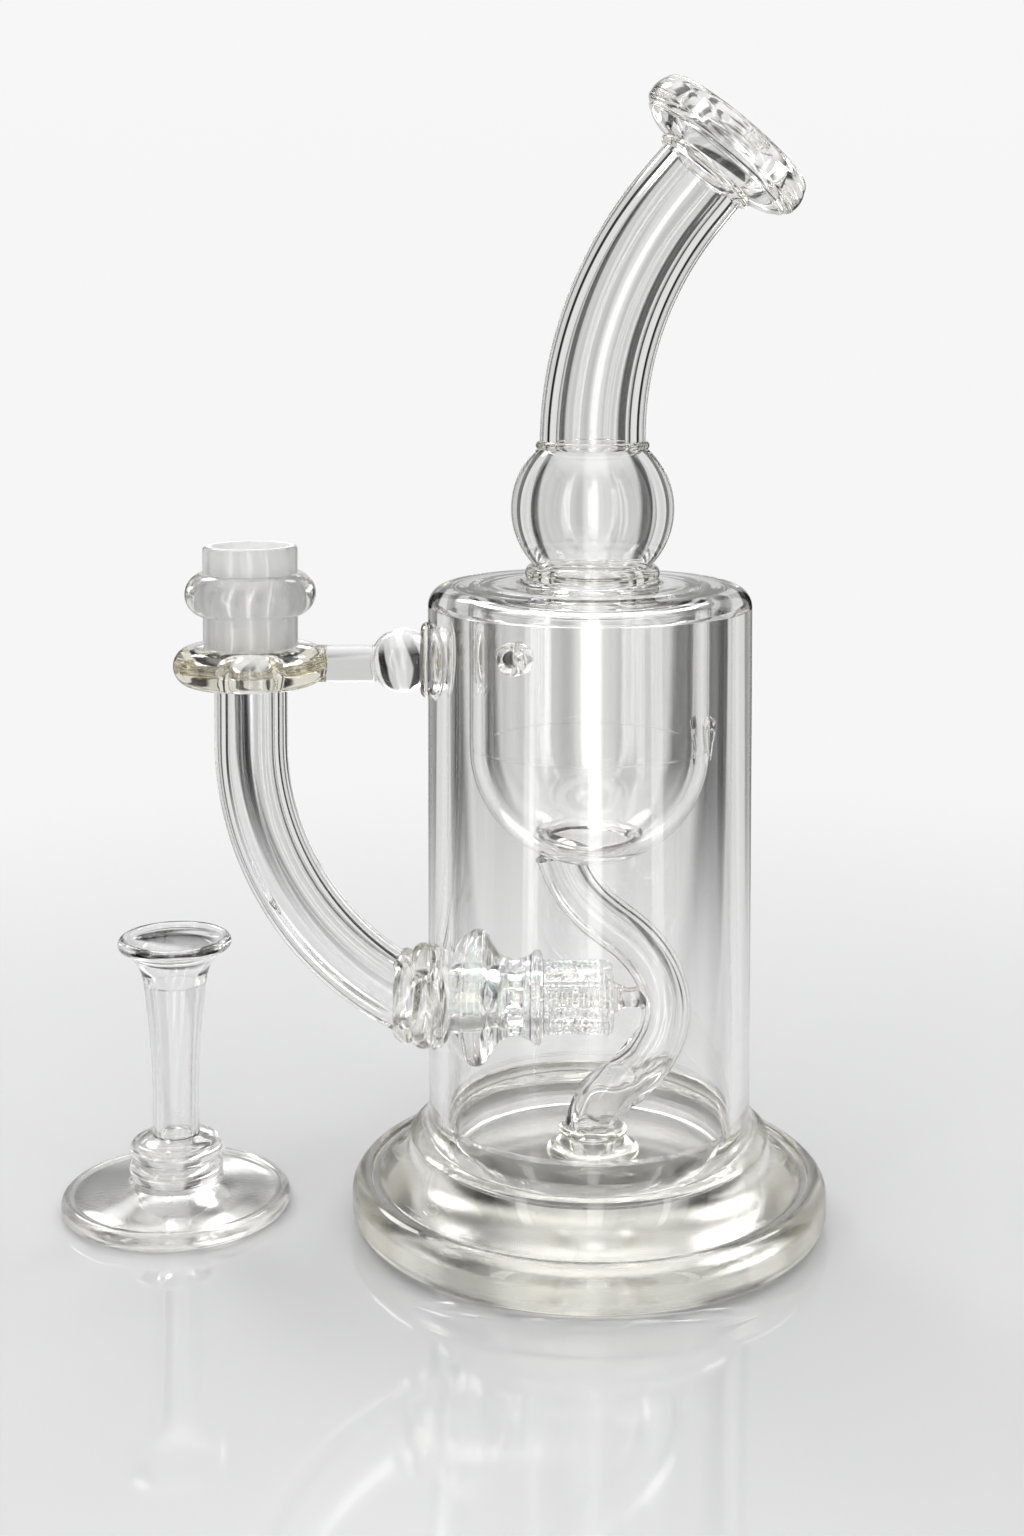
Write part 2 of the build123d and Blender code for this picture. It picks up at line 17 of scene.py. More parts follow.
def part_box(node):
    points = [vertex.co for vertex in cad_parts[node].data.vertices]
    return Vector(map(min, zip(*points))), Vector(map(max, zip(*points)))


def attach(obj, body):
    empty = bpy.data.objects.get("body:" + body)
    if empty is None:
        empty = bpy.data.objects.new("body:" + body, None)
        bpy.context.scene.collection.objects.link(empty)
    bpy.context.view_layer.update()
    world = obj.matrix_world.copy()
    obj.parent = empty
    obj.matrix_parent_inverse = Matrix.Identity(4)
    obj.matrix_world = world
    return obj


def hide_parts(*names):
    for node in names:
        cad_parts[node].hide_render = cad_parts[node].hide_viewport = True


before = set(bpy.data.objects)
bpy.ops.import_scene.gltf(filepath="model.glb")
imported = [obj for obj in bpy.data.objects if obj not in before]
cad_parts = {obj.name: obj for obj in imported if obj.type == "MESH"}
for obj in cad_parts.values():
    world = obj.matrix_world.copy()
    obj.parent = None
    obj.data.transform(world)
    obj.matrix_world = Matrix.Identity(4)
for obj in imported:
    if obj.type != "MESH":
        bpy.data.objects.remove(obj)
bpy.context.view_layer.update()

MM = 0.001
VESSEL = "vessel"
LOOSE = "loose_glass"

# Facets round a turned piece, and how far fused pieces run into each other in millimetres
SEGMENTS = 192
FINE_SEGMENTS = 256
SMALL_SEGMENTS = 72
OVERLAP = 0.02

# The sine and cosine of 45 degrees, for the middle point of a quarter circle
SLANT = sin(radians(45))


def box_mm(node):
    """The lowest and highest corner of a CAD node, in millimetres."""
    low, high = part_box(node)
    return low / MM, high / MM


def middle_mm(node):
    """The middle of a CAD node's box, in millimetres."""
    low, high = box_mm(node)
    return (low + high) / 2


def radius_mm(node):
    """Half the width of a CAD node along Y, in millimetres."""
    low, high = box_mm(node)
    return (high.y - low.y) / 2


# Sizes read from the frame
FOOT_R = radius_mm("base_foot")
FLARE_R = radius_mm("base_flare")
FLARE_Z, CAN_BOTTOM = (corner.z for corner in box_mm("base_flare"))
CAN_R = radius_mm("outer_can")
CAN_TOP = box_mm("outer_can")[1].z
SHOULDER_TOP = box_mm("can_shoulder")[1].z
DRUM_R = radius_mm("inner_drum")
BOWL_CENTRE, DRUM_TOP = (corner.z for corner in box_mm("inner_drum"))
NECK_X = middle_mm("neck_weld_ring").x
BULB_BOTTOM, BULB_TOP = (corner.z for corner in box_mm("neck_bulb"))
BULB_R = radius_mm("neck_bulb")
NECK_BOTTOM = box_mm("neck_seam_ring")[1].z
NECK_R = radius_mm("neck_tube")
JOINT_X = middle_mm("joint_collar").x
COLLAR_BOTTOM, COLLAR_TOP = (corner.z for corner in box_mm("joint_collar"))
COLLAR_R = radius_mm("joint_collar")
SOCKET_BOTTOM, SOCKET_TOP = (corner.z for corner in box_mm("joint_socket"))
SOCKET_R = radius_mm("joint_socket")
RING_R = radius_mm("joint_ring")
RING_BOTTOM, RING_TOP = (corner.z for corner in box_mm("joint_ring"))
ARM_R = radius_mm("downtube_arm")
PERC_Z = middle_mm("perc_ring").z
BELL_END, WAIST_END = (corner.x for corner in box_mm("perc_waist"))
RING_END, CAP_END = (corner.x for corner in box_mm("perc_cap"))
CAP_R = radius_mm("perc_cap")
DRAIN_FOOT = middle_mm("drain_foot")
FLOOR_Z, DRAIN_FOOT_TOP = (corner.z for corner in box_mm("drain_foot"))
BRACE_Z = middle_mm("brace_ball").z
ROD_Z = middle_mm("brace_rod").z
ROD_R = radius_mm("brace_rod")
BALL_R = radius_mm("brace_ball")
BALL_LEFT, PAD_X = (corner.x for corner in box_mm("brace_ball"))
LOOSE_AT = middle_mm("loose_foot")
LOOSE_FOOT_R = radius_mm("loose_foot")
LOOSE_FOOT_TOP = box_mm("loose_foot")[1].z
LOWER_BEAD_TOP = box_mm("loose_lower_bead")[1].z
STEM_BOTTOM, FUNNEL_BOTTOM = (corner.z for corner in box_mm("loose_stem"))
LOOSE_TOP = box_mm("loose_funnel")[1].z

# Walls and bores that the boxes don't show
CAN_INNER_R = CAN_R - 3.5
DRUM_INNER_R = DRUM_R - 2.2
NECK_BORE_R = 7.8
NECK_WALL = 3.1
NECK_TOP_R = NECK_R - 0.8
NECK_BEND_R = 69.0
NECK_TILT = radians(40)
NECK_STRAIGHT = 5.8
DRAIN_R = 4.7
DRAIN_BORE_R = 3.1
PERC_BORE_R = 4.2
PERC_PORT_R = 6.9
PERC_SLITS = 12
ARM_BORE_R = 4.2
ARM_BEND_TOP = COLLAR_BOTTOM - 11.0
ARM_BEND_R = 54.0
ARM_BEND = radians(62)

# The drum's round hole and slot, by their direction from the axis and their height
HOLE_DIRECTION = Vector((-13.2, -16.6, 0)).normalized()
HOLE_Z = 107.8
SLOT_DIRECTION = Vector((cos(radians(8)), -sin(radians(8)), 0))
SLOT_Z = 90.4

# The bends of the drain's centre line, from the bowl down to its foot
DRAIN_BENDS = (
    (-5.6, 0, 68.8),
    (-3.3, 0, 63.4),
    (1.2, 0, 57.8),
    (7.6, 0.3, 52.7),
    (12.6, 0.7, 46.4),
    (14.5, 0.5, 39.6),
    (13.0, -0.6, 33.2),
    (8.9, -1.8, 28.4),
    (4.2, -1.6, 24.4),
)


# Outlines and paths

def arc_points(start, middle, end, step=radians(4)):
    """Points after start along the arc through middle to end, in the outline's plane."""
    (x1, y1), (x2, y2), (x3, y3) = start, middle, end
    turn = 2 * (x1 * (y2 - y3) + x2 * (y3 - y1) + x3 * (y1 - y2))
    square1 = x1 * x1 + y1 * y1
    square2 = x2 * x2 + y2 * y2
    square3 = x3 * x3 + y3 * y3
    cx = (square1 * (y2 - y3) + square2 * (y3 - y1) + square3 * (y1 - y2)) / turn
    cy = (square1 * (x3 - x2) + square2 * (x1 - x3) + square3 * (x2 - x1)) / turn
    radius = sqrt((x1 - cx) ** 2 + (y1 - cy) ** 2)
    first = atan2(y1 - cy, x1 - cx)
    sweep = (atan2(y3 - cy, x3 - cx) - first) % (2 * pi)
    through = (atan2(y2 - cy, x2 - cx) - first) % (2 * pi)
    if through > sweep:
        sweep -= 2 * pi
    count = max(4, ceil(abs(sweep) / step))
    angles = [first + sweep * index / count for index in range(1, count)]
    return [(cx + radius * cos(a), cy + radius * sin(a)) for a in angles] + [end]


def line_points(start, end, step=2.0):
    """Points after start along a straight edge, close enough together for ripples."""
    length = sqrt((end[0] - start[0]) ** 2 + (end[1] - start[1]) ** 2)
    count = max(1, ceil(length / step))
    return [
        tuple(a + (b - a) * index / count for a, b in zip(start, end))
        for index in range(1, count + 1)
    ]


def outline(start, *steps):
    """A closed outline of (radius, height) points. A step of two numbers is a straight edge
    to that corner, and one of four is an arc through its first pair to its second."""
    points = [start]
    for step in steps:
        corner = step[-2:]
        if len(step) == 4:
            points += arc_points(points[-1], step[:2], corner)
        else:
            points += line_points(points[-1], corner)
    points += line_points(points[-1], start)
    return points[:-1]


def smooth_path(points, start_tangent, end_tangent, per_run=10):
    """A smooth interpolating cubic through the points, with its end directions given."""
    points = np.array(points, float)
    runs = np.linalg.norm(np.diff(points, axis=0), axis=1)
    count = len(points)
    system = np.zeros((count, count))
    right = np.zeros((count, 3))
    system[0, 0] = system[-1, -1] = 1
    right[0] = Vector(start_tangent).normalized()
    right[-1] = Vector(end_tangent).normalized()
    for i in range(1, count - 1):
        before, after = runs[i - 1], runs[i]
        system[i, i - 1 : i + 2] = after, 2 * (before + after), before
        right[i] = 3 * (
            after * (points[i] - points[i - 1]) / before
            + before * (points[i + 1] - points[i]) / after
        )
    slopes = np.linalg.solve(system, right)
    path = []
    for i in range(count - 1):
        for share in np.linspace(0, 1, per_run, endpoint=False):
            path.append(hermite(points[i : i + 2], slopes[i : i + 2] * runs[i], share))
    path.append(points[-1])
    return [Vector(p) for p in path]


def hermite(ends, slopes, t):
    """A point on the cubic between two ends with the given slopes."""
    return (
        ends[0] * (2 * t**3 - 3 * t**2 + 1)
        + slopes[0] * (t**3 - 2 * t**2 + t)
        + ends[1] * (3 * t**2 - 2 * t**3)
        + slopes[1] * (t**3 - t**2)
    )


# Meshes

def ripple(amount, lobes, seed):
    """A small smooth wave over a turned surface, as hand-worked glass has, in millimetres."""
    dice = random.Random(seed)
    waves = [
        (dice.randint(1, lobes), dice.uniform(-0.9, 0.9), dice.uniform(0, 2 * pi), dice.random())
        for _ in range(7)
    ]
    total = sum(weight for *_, weight in waves)

    def wave(angle, height):
        return amount * sum(
            weight * sin(count * angle + slope * height + phase)
            for count, slope, phase, weight in waves
        ) / total

    return wave


def finish_mesh(name, mesh_builder, place):
    """Turns a bmesh in millimetres into a smooth-shaded object in metres."""
    bmesh.ops.remove_doubles(mesh_builder, verts=mesh_builder.verts, dist=1e-5)
    bmesh.ops.recalc_face_normals(mesh_builder, faces=mesh_builder.faces)
    mesh_builder.transform(Matrix.Scale(MM, 4) @ place)
    mesh = bpy.data.meshes.new(name)
    mesh_builder.to_mesh(mesh)
    mesh_builder.free()
    piece = bpy.data.objects.new(name, mesh)
    bpy.context.scene.collection.objects.link(piece)
    mark_sharp(mesh)
    return piece


def mark_sharp(mesh, limit=radians(32)):
    """Smooth shading everywhere but across sharp edges."""
    mesh.polygons.foreach_set("use_smooth", [True] * len(mesh.polygons))
    builder = bmesh.new()
    builder.from_mesh(mesh)
    for edge in builder.edges:
        edge.smooth = len(edge.link_faces) == 2 and edge.calc_face_angle(0) < limit
    builder.to_mesh(mesh)
    builder.free()


def bridge(builder, one, other):
    """Faces between two rings of points, where a ring may be one point repeated."""
    for index in range(len(one)):
        after = (index + 1) % len(one)
        corners = dict.fromkeys((one[index], one[after], other[after], other[index]))
        if len(corners) > 2:
            builder.faces.new(tuple(corners))


def turned(name, points, place=Matrix.Identity(4), wave=None, segments=SEGMENTS):
    """A closed solid turned about Z from an outline, then put in place."""
    builder = bmesh.new()
    rings = []
    for radius, height in points:
        ring = []
        for index in range(segments):
            angle = 2 * pi * index / segments
            if radius < 1e-6:
                ring.append(builder.verts.new((0, 0, height)))
                ring *= segments
                break
            reach = radius + (wave(angle, height) if wave else 0)
            ring.append(builder.verts.new((reach * cos(angle), reach * sin(angle), height)))
        rings.append(ring)
    for one, other in zip(rings, rings[1:] + rings[:1]):
        bridge(builder, one, other)
    return finish_mesh(name, builder, place)


def swept(name, path, outer, inner=None, segments=96, wave=None):
    """A closed tube, or a bar where there is no inner radius, along a path of points.

    The radii are functions of the share of the path gone by, and a wave of the angle and that
    share adds to the outer one.
    """
    builder = bmesh.new()
    tangents = [(after - before).normalized() for before, after in zip(path, path[1:])]
    directions = [tangents[0]]
    directions += [(a + b).normalized() for a, b in zip(tangents, tangents[1:])]
    directions.append(tangents[-1])
    side = Vector((0, 1, 0))
    outside, inside = [], []
    for index, (centre, direction) in enumerate(zip(path, directions)):
        side = (side - direction * side.dot(direction)).normalized()
        up = direction.cross(side)
        share = index / (len(path) - 1)
        for rings, radius, rough in ((outside, outer, wave), (inside, inner, None)):
            if not radius:
                continue
            ring = []
            for k in range(segments):
                angle = 2 * pi * k / segments
                reach = radius(share) + (rough(angle, share) if rough else 0)
                ring.append(builder.verts.new(
                    centre + (side * cos(angle) + up * sin(angle)) * reach
                ))
            rings.append(ring)
    for rings in (outside, inside):
        for one, other in zip(rings, rings[1:]):
            bridge(builder, one, other)
    for end in (0, -1):
        if inner:
            bridge(builder, outside[end], inside[end])
        else:
            builder.faces.new(outside[end])
    return finish_mesh(name, builder, Matrix.Identity(4))


def cut(piece, tools, operation="DIFFERENCE"):
    """Takes each tool away from the piece, or keeps what they share, and removes the tools."""
    for tool in tools:
        modifier = piece.modifiers.new("cut", "BOOLEAN")
        modifier.operation = operation
        modifier.solver = "EXACT"
        modifier.object = tool
    graph = bpy.context.evaluated_depsgraph_get()
    mesh = bpy.data.meshes.new_from_object(piece.evaluated_get(graph))
    piece.modifiers.clear()
    piece.data = mesh
    mark_sharp(mesh)
    for tool in tools:
        bpy.data.objects.remove(tool)
    return piece


def along_x(x=0.0, z=0.0):
    """Lays a solid turned about Z down so that its own +Z points along +X."""
    return Matrix.Translation((x, 0, z)) @ Matrix.Rotation(pi / 2, 4, "Y")


def shift(x=0.0, y=0.0, z=0.0):
    """A place moved by so many millimetres."""
    return Matrix.Translation((x, y, z))


def bar(radius, low, high, place=Matrix.Identity(4), name="cutter"):
    """A plain round bar, which mostly serves to cut others."""
    return turned(name, [(0, low), (radius, low), (radius, high), (0, high)], place)


# Paths of the bent tubes

def neck_path():
    """Up from the bulb, over the bend and a little way straight on."""
    def on_arc(angle):
        return Vector((
            NECK_X + NECK_BEND_R * (1 - cos(angle)), 0, NECK_BOTTOM + NECK_BEND_R * sin(angle)
        ))

    bend = [on_arc(NECK_TILT * index / 36) for index in range(37)]
    away = Vector((sin(NECK_TILT), 0, cos(NECK_TILT))) * NECK_STRAIGHT
    return bend + [bend[-1] + away * share for share in (0.25, 0.5, 0.75, 1)]


def arm_path(past=12.0):
    """Down from the joint's collar, round the bend and past the can's wall."""
    def on_arc(angle):
        return Vector((
            JOINT_X + ARM_BEND_R * (1 - cos(angle)), 0, ARM_BEND_TOP - ARM_BEND_R * sin(angle)
        ))

    start = Vector((JOINT_X, 0, COLLAR_BOTTOM + OVERLAP))
    bend = [on_arc(ARM_BEND * index / 44) for index in range(45)]
    away = Vector((sin(ARM_BEND), 0, -cos(ARM_BEND))) * past
    down = [start.lerp(bend[0], share) for share in (0, 0.33, 0.67)]
    return down + bend + [bend[-1] + away * share for share in (0.33, 0.67, 1)]


def drain_path():
    """The S-bend's centre line, out of the bowl at a slant and straight down into its foot."""
    foot = (DRAIN_FOOT.x, 0, DRAIN_FOOT_TOP - OVERLAP)
    return smooth_path([*DRAIN_BENDS, foot], (0.35, 0, -0.94), (0, 0, -1))


def evenly(radius):
    """The same radius all along a path."""
    return lambda share: radius


# Pieces of the can and its foot

def base_foot():
    edge = 3.4
    flat = FOOT_R - edge
    top = 9.0
    return turned("foot", outline(
        (0, 0),
        (flat, 0),
        (flat + edge * SLANT, edge * (1 - SLANT), FOOT_R, edge),
        (FOOT_R, top - edge),
        (flat + edge * SLANT, top - edge * (1 - SLANT), flat, top),
        (flat - 1.0, top - 0.5, flat - 2.0, top - 0.1),
        (35.6, 11.6, FLARE_R, FLARE_Z),
        (CAN_INNER_R, FLARE_Z),
        (CAN_INNER_R, FLOOR_Z + 1.8),
        (CAN_INNER_R - 0.5, FLOOR_Z + 0.5, CAN_INNER_R - 1.8, FLOOR_Z),
        (0, FLOOR_Z),
    ), segments=FINE_SEGMENTS)


def base_flare():
    return turned("foot_flare", outline(
        (CAN_INNER_R, FLARE_Z - OVERLAP),
        (FLARE_R, FLARE_Z - OVERLAP),
        (31.0, FLARE_Z + 1.9, CAN_R, CAN_BOTTOM),
        (CAN_INNER_R, CAN_BOTTOM),
    ), segments=FINE_SEGMENTS)


def can_bar():
    """The can's outer cylinder as a solid, for trimming what is fused to it."""
    return bar(CAN_R - OVERLAP, CAN_BOTTOM, CAN_TOP)


def outer_can():
    shell = turned("can", outline(
        (CAN_INNER_R, CAN_BOTTOM - OVERLAP),
        (CAN_R, CAN_BOTTOM - OVERLAP),
        (CAN_R, CAN_TOP),
        (CAN_INNER_R, CAN_TOP),
    ), segments=FINE_SEGMENTS)
    port = bar(PERC_PORT_R - OVERLAP, -CAN_R - 6, -CAN_R + 8, along_x(z=PERC_Z))
    return cut(shell, [port])


def can_shoulder():
    return turned("shoulder", outline(
        (CAN_INNER_R, CAN_TOP - OVERLAP),
        (CAN_R, CAN_TOP - OVERLAP),
        (28.9, CAN_TOP + 2.6, 26.4, SHOULDER_TOP - 1.3),
        (14.0, SHOULDER_TOP - 0.7),
        (13.2, SHOULDER_TOP - 0.5, 12.8, SHOULDER_TOP),
        (NECK_BORE_R, SHOULDER_TOP),
        (NECK_BORE_R, SHOULDER_TOP - 3.0),
        (DRUM_INNER_R - 1.0, SHOULDER_TOP - 3.2),
        (DRUM_INNER_R, DRUM_TOP),
        (24.2, DRUM_TOP),
        (25.8, DRUM_TOP - 0.3, CAN_INNER_R, CAN_TOP - OVERLAP),
    ), segments=FINE_SEGMENTS)


# Pieces of the neck

def neck_weld_ring():
    return turned("neck_weld", outline(
        (NECK_BORE_R, SHOULDER_TOP - OVERLAP),
        (12.2, SHOULDER_TOP - OVERLAP),
        (12.5, SHOULDER_TOP + 1.3, 11.0, BULB_BOTTOM),
        (NECK_BORE_R, BULB_BOTTOM),
    ), shift(NECK_X), ripple(0.12, 5, 3))


def neck_bulb():
    middle = (BULB_BOTTOM + BULB_TOP) / 2 - 0.3
    return turned("neck_bulb_glass", outline(
        (NECK_BORE_R, BULB_BOTTOM - OVERLAP),
        (11.0, BULB_BOTTOM - OVERLAP),
        (BULB_R, middle, 10.2, BULB_TOP),
        (NECK_R - NECK_WALL, BULB_TOP),
        (BULB_R - 3.2, middle, NECK_BORE_R, BULB_BOTTOM - OVERLAP),
    ), shift(NECK_X))


def neck_seam_ring():
    return turned("neck_seam", outline(
        (NECK_R - NECK_WALL, BULB_TOP - OVERLAP),
        (10.2, BULB_TOP - OVERLAP),
        (10.5, (BULB_TOP + NECK_BOTTOM) / 2, NECK_R, NECK_BOTTOM),
        (NECK_R - NECK_WALL, NECK_BOTTOM),
    ), shift(NECK_X), ripple(0.05, 4, 5))


def neck_tube():
    def outer(share):
        return NECK_R + (NECK_TOP_R - NECK_R) * share

    def inner(share):
        return outer(share) - NECK_WALL

    return swept("neck", neck_path(), outer, inner, 160)


def mouthpiece_place():
    """The end of the neck, with +Z along it."""
    end = neck_path()[-1]
    return Matrix.Translation(end) @ Matrix.Rotation(NECK_TILT, 4, "Y")


def mouthpiece_bead():
    bore = NECK_TOP_R - NECK_WALL
    return turned("mouth_bead", outline(
        (bore, -OVERLAP), (NECK_TOP_R, -OVERLAP), (10.2, 1.0, 9.7, 2.0), (bore, 2.0)
    ), mouthpiece_place())


def mouthpiece_lip():
    bore = NECK_TOP_R - NECK_WALL
    return turned("mouth_lip", outline(
        (bore, 2.0 - OVERLAP),
        (9.7, 2.0 - OVERLAP),
        (12.7, 2.2, 15.4, 3.6),
        (15.9, 3.9, 15.9, 4.4),
        (16.7, 4.8, 17.1, 5.8),
        (17.2, 7.6, 16.6, 9.3),
        (15.8, 10.6, 14.2, 11.1),
        (11.4, 10.8, 9.0, 8.8),
        (7.0, 6.3, bore, 3.8),
    ), mouthpiece_place())


# Pieces of the drum

def on_drum_wall(direction, height):
    """A place in the middle of the drum's wall, with +Z straight out and +X straight up."""
    out = direction.normalized()
    up = Vector((0, 0, 1))
    turn = Matrix((up, out.cross(up), out)).transposed().to_4x4()
    centre = out * (DRUM_R + DRUM_INNER_R) / 2 + up * height
    return Matrix.Translation(centre) @ turn


def hole_place():
    return on_drum_wall(HOLE_DIRECTION, HOLE_Z)


def slot_place():
    return on_drum_wall(SLOT_DIRECTION, SLOT_Z)


def slot_bar(width=4.2, length=9.2):
    """A bar with a stadium section for cutting the slot."""
    builder = bmesh.new()
    reach = (length - width) / 2
    rings = []
    for height in (-4.5, 4.5):
        rings.append([
            builder.verts.new((x, y, height)) for x, y in stadium(reach, width / 2, 24)
        ])
    bridge(builder, *rings)
    for ring in rings:
        builder.faces.new(ring)
    return finish_mesh("cutter", builder, slot_place())


def stadium(reach, radius, half_count):
    """Points round a slot shape that runs along X."""
    points = []
    for centre, first in ((reach, -pi / 2), (-reach, pi / 2)):
        for index in range(half_count + 1):
            angle = first + pi * index / half_count
            points.append((centre + radius * cos(angle), radius * sin(angle)))
    return points


def inner_drum():
    wall = turned("drum", outline(
        (DRUM_INNER_R, BOWL_CENTRE),
        (DRUM_R, BOWL_CENTRE),
        (DRUM_R, DRUM_TOP + OVERLAP),
        (DRUM_INNER_R, DRUM_TOP + OVERLAP),
    ), segments=FINE_SEGMENTS)
    return cut(wall, [bar(3.0, -4, 4, hole_place()), slot_bar()])


def drain_hole():
    """A bar along the top of the drain, for cutting its hole through the bowl."""
    path = drain_path()
    direction = path[1] - path[0]
    place = Matrix.Translation(path[0]) @ direction.to_track_quat("Z", "Y").to_matrix().to_4x4()
    return bar(DRAIN_BORE_R, -8, 8, place)


def drum_bowl():
    shell = turned("bowl", outline(
        (0, BOWL_CENTRE - DRUM_R),
        (DRUM_R * SLANT, BOWL_CENTRE - DRUM_R * SLANT, DRUM_R, BOWL_CENTRE + OVERLAP),
        (DRUM_INNER_R, BOWL_CENTRE + OVERLAP),
        (
            DRUM_INNER_R * SLANT,
            BOWL_CENTRE - DRUM_INNER_R * SLANT,
            0,
            BOWL_CENTRE - DRUM_INNER_R,
        ),
    ), segments=FINE_SEGMENTS)
    return cut(shell, [slot_bar(), drain_hole()])


def drum_drain_ring():
    """A low ring of melted glass round the drain, resting on the bowl's inside."""
    def bowl_z(radius):
        return BOWL_CENTRE - sqrt(DRUM_INNER_R**2 - radius**2) - OVERLAP

    outer, inner = 10.4, 7.4
    middle = (outer + inner) / 2
    return turned("drain_ring", outline(
        (inner, bowl_z(inner)),
        (middle, bowl_z(middle), outer, bowl_z(outer)),
        (middle, bowl_z(middle) + 1.2, inner, bowl_z(inner)),
    ), wave=ripple(0.35, 9, 8))


def drum_hole_lip():
    return turned("hole_lip", outline(
        (1.5, -1.7), (2.3, -2.1, 3.0, -1.4), (3.0, 1.4), (2.3, 2.1, 1.5, 1.7)
    ), hole_place(), segments=SMALL_SEGMENTS)


def drum_slot_lip():
    """A fused lip round the slot, a thick knob at the top that thins out downwards."""
    builder = bmesh.new()
    around, section = 64, 28
    rings = []
    for index in range(around):
        turn = 2 * pi * index / around
        knob = (0.5 + 0.5 * cos(turn)) ** 1.4
        centre = Vector((3.3 * cos(turn), (1.45 + 0.35 * knob) * sin(turn), 0))
        outward = Vector((cos(turn), 1.6 * sin(turn), 0)).normalized()
        width = 0.75 + 0.6 * knob
        depth = 1.4 + 1.0 * knob
        ring = []
        for k in range(section):
            angle = 2 * pi * k / section
            offset = outward * cos(angle) * width + Vector((0, 0, sin(angle) * depth))
            ring.append(builder.verts.new(centre + offset))
        rings.append(ring)
    for one, other in zip(rings, rings[1:] + rings[:1]):
        bridge(builder, one, other)
    return finish_mesh("slot_lip", builder, slot_place())


# The drain and the perc

def twist(angle, share):
    """Lumpy twisted glass that grows towards the foot of the S-bend."""
    grown = max(0.0, (share - 0.66) / 0.34)
    flutes = sin(3 * angle + 26 * share)
    lumps = 0.7 + 0.3 * sin(70 * share)
    return 0.42 * min(1.0, 2 * grown) * flutes * lumps


def s_bend_tube():
    tube = swept("s_bend", drain_path(), evenly(DRAIN_R), evenly(DRAIN_BORE_R), wave=twist)
    centre = BOWL_CENTRE
    sphere = turned("cutter", outline(
        (0, centre - DRUM_R + OVERLAP),
        (DRUM_R - OVERLAP, centre, 0, centre + DRUM_R - OVERLAP),
    ))
    return cut(tube, [sphere])


def drain_foot():
    return turned("s_bend_foot", outline(
        (DRAIN_BORE_R, FLOOR_Z - OVERLAP),
        (7.9, FLOOR_Z - OVERLAP),
        (8.6, FLOOR_Z + 1.2, 7.8, FLOOR_Z + 2.4),
        (6.4, FLOOR_Z + 3.2, 5.7, FLOOR_Z + 4.2),
        (6.3, FLOOR_Z + 4.9, 5.6, DRAIN_FOOT_TOP),
        (DRAIN_BORE_R, DRAIN_FOOT_TOP),
    ), shift(DRAIN_FOOT.x), ripple(0.18, 7, 11))


def perc_bell():
    """The wide bell inside the can and the short neck that fills the can's port."""
    bell = turned("bell", outline(
        (PERC_BORE_R, -31.0),
        (PERC_PORT_R, -31.0),
        (PERC_PORT_R, -25.8),
        (9.6, -25.2, 11.5, -22.8),
        (12.3, -20.4, 10.6, -18.4),
        (9.0, -17.4, 8.0, BELL_END),
        (PERC_BORE_R, BELL_END),
    ), along_x(z=PERC_Z), ripple(0.25, 5, 21))
    cut(bell, [can_bar()], "INTERSECT")
    ring = turned("cutter", outline(
        (CAN_INNER_R, CAN_BOTTOM + 4),
        (CAN_R + 4, CAN_BOTTOM + 4),
        (CAN_R + 4, CAN_TOP - 4),
        (CAN_INNER_R, CAN_TOP - 4),
    ))
    port = bar(PERC_PORT_R, -CAN_R - 6, -CAN_R + 9, along_x(z=PERC_Z))
    cut(ring, [port])
    return cut(bell, [ring])


def slit_blades(start, end):
    """Thin blades all round the perc, which cut its lengthwise slits."""
    builder = bmesh.new()
    half = 0.4
    for index in range(PERC_SLITS):
        corners = bmesh.ops.create_cube(builder, size=1)["verts"]
        size = Matrix.Diagonal((6, 2 * half, end - start, 1))
        place = (
            Matrix.Rotation(2 * pi * index / PERC_SLITS, 4, "Z")
            @ Matrix.Translation((PERC_BORE_R + 2.5, 0, (start + end) / 2))
        )
        bmesh.ops.transform(builder, matrix=place @ size, verts=corners)
    return finish_mesh("cutter", builder, along_x(z=PERC_Z))


def fluting(depth, count):
    """A wave that presses lengthwise flutes into a turned surface."""
    return lambda angle, height: -depth * max(0.0, cos(count * angle)) ** 3


def perc_waist():
    waist = turned("perc_waist_glass", outline(
        (PERC_BORE_R, BELL_END - OVERLAP),
        (8.0, BELL_END - OVERLAP),
        (7.1, (BELL_END + WAIST_END) / 2, 8.0, WAIST_END),
        (PERC_BORE_R, WAIST_END),
    ), along_x(z=PERC_Z))
    return cut(waist, [slit_blades(BELL_END + 1.3, WAIST_END - 1.3)])


def perc_ring():
    return turned("perc_bead", outline(
        (PERC_BORE_R, WAIST_END - OVERLAP),
        (8.0, WAIST_END - OVERLAP),
        (8.7, (WAIST_END + RING_END) / 2, 7.9, RING_END + OVERLAP),
        (PERC_BORE_R, RING_END + OVERLAP),
    ), along_x(z=PERC_Z), ripple(0.06, 6, 31))


def perc_cap():
    """The stepped and fluted end of the perc, with two rows of slits."""
    steps = [
        (CAP_R - (0.35 if index % 2 else 0), RING_END + 0.5 * index) for index in range(1, 24)
    ]
    cap = turned("perc_head", outline(
        (PERC_BORE_R + 0.4, RING_END),
        (CAP_R, RING_END),
        *steps,
        (CAP_R, CAP_END - 1.2),
        (CAP_R - 0.4, CAP_END - 0.4, CAP_R - 1.2, CAP_END),
        (0, CAP_END),
        (0, CAP_END - 2.0),
        (PERC_BORE_R + 0.4, CAP_END - 2.0),
    ), along_x(z=PERC_Z), fluting(0.28, 2 * PERC_SLITS))
    rows = (RING_END + 1.2, RING_END + 6.4)
    return cut(cap, [slit_blades(start, start + 4.2) for start in rows])


